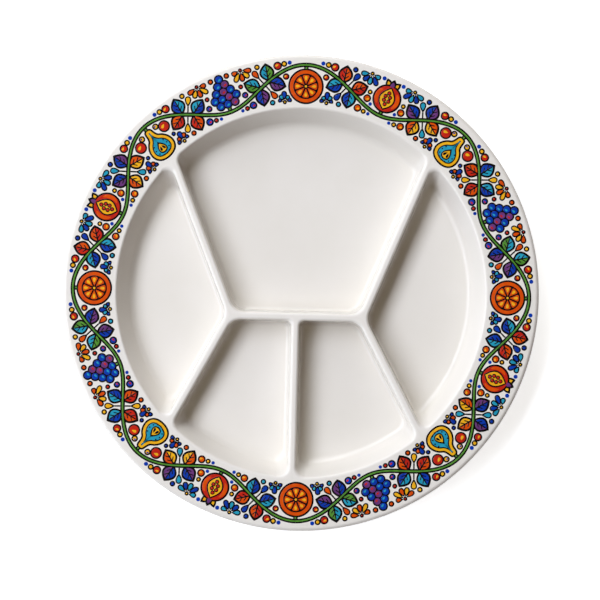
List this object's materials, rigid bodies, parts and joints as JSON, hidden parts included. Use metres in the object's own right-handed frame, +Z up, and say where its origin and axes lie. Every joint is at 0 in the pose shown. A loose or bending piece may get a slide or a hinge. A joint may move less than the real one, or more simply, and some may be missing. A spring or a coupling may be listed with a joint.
{
  "type": "fondue plate",
  "caption": "Round glazed ceramic fondue plate with a deep well split by thin dividers into compartments, and a flat rim decorated with a fired garland of fruit and leaves.",
  "frame": {"origin": "centre of the foot ring's standing face", "axes": "+Z up out of the compartments, +Y from the centre towards the large compartment, +X to the right"},
  "size_m": [0.25, 0.25, 0.0231],
  "materials": {
    "glazed_ware": "warm white gloss glaze, bare clay on the foot's standing edge",
    "enamel_orange": "glossy fired enamel",
    "enamel_cobalt": "glossy fired enamel",
    "enamel_turquoise": "glossy fired enamel",
    "enamel_red": "glossy fired enamel",
    "enamel_green": "glossy fired enamel"
  },
  "bodies": {
    "root": {"plate_body": "glazed_ware", "orange_1": "enamel_orange", "orange_2": "enamel_orange", "orange_3": "enamel_orange", "orange_4": "enamel_orange", "grapes_1": "enamel_cobalt", "grapes_2": "enamel_cobalt", "grapes_3": "enamel_cobalt", "grapes_4": "enamel_cobalt", "pear_1": "enamel_turquoise", "pear_2": "enamel_turquoise", "pear_3": "enamel_turquoise", "pear_4": "enamel_turquoise", "pomegranate_1": "enamel_red", "pomegranate_2": "enamel_red", "pomegranate_3": "enamel_red", "pomegranate_4": "enamel_red", "vine_sprig_1": "enamel_green", "vine_sprig_2": "enamel_green", "vine_sprig_3": "enamel_green", "vine_sprig_4": "enamel_green", "vine_sprig_5": "enamel_green", "vine_sprig_6": "enamel_green", "vine_sprig_7": "enamel_green", "vine_sprig_8": "enamel_green", "vine_sprig_9": "enamel_green", "vine_sprig_10": "enamel_green", "vine_sprig_11": "enamel_green", "vine_sprig_12": "enamel_green", "vine_sprig_13": "enamel_green", "vine_sprig_14": "enamel_green", "vine_sprig_15": "enamel_green", "vine_sprig_16": "enamel_green"}
  },
  "joints": []
}
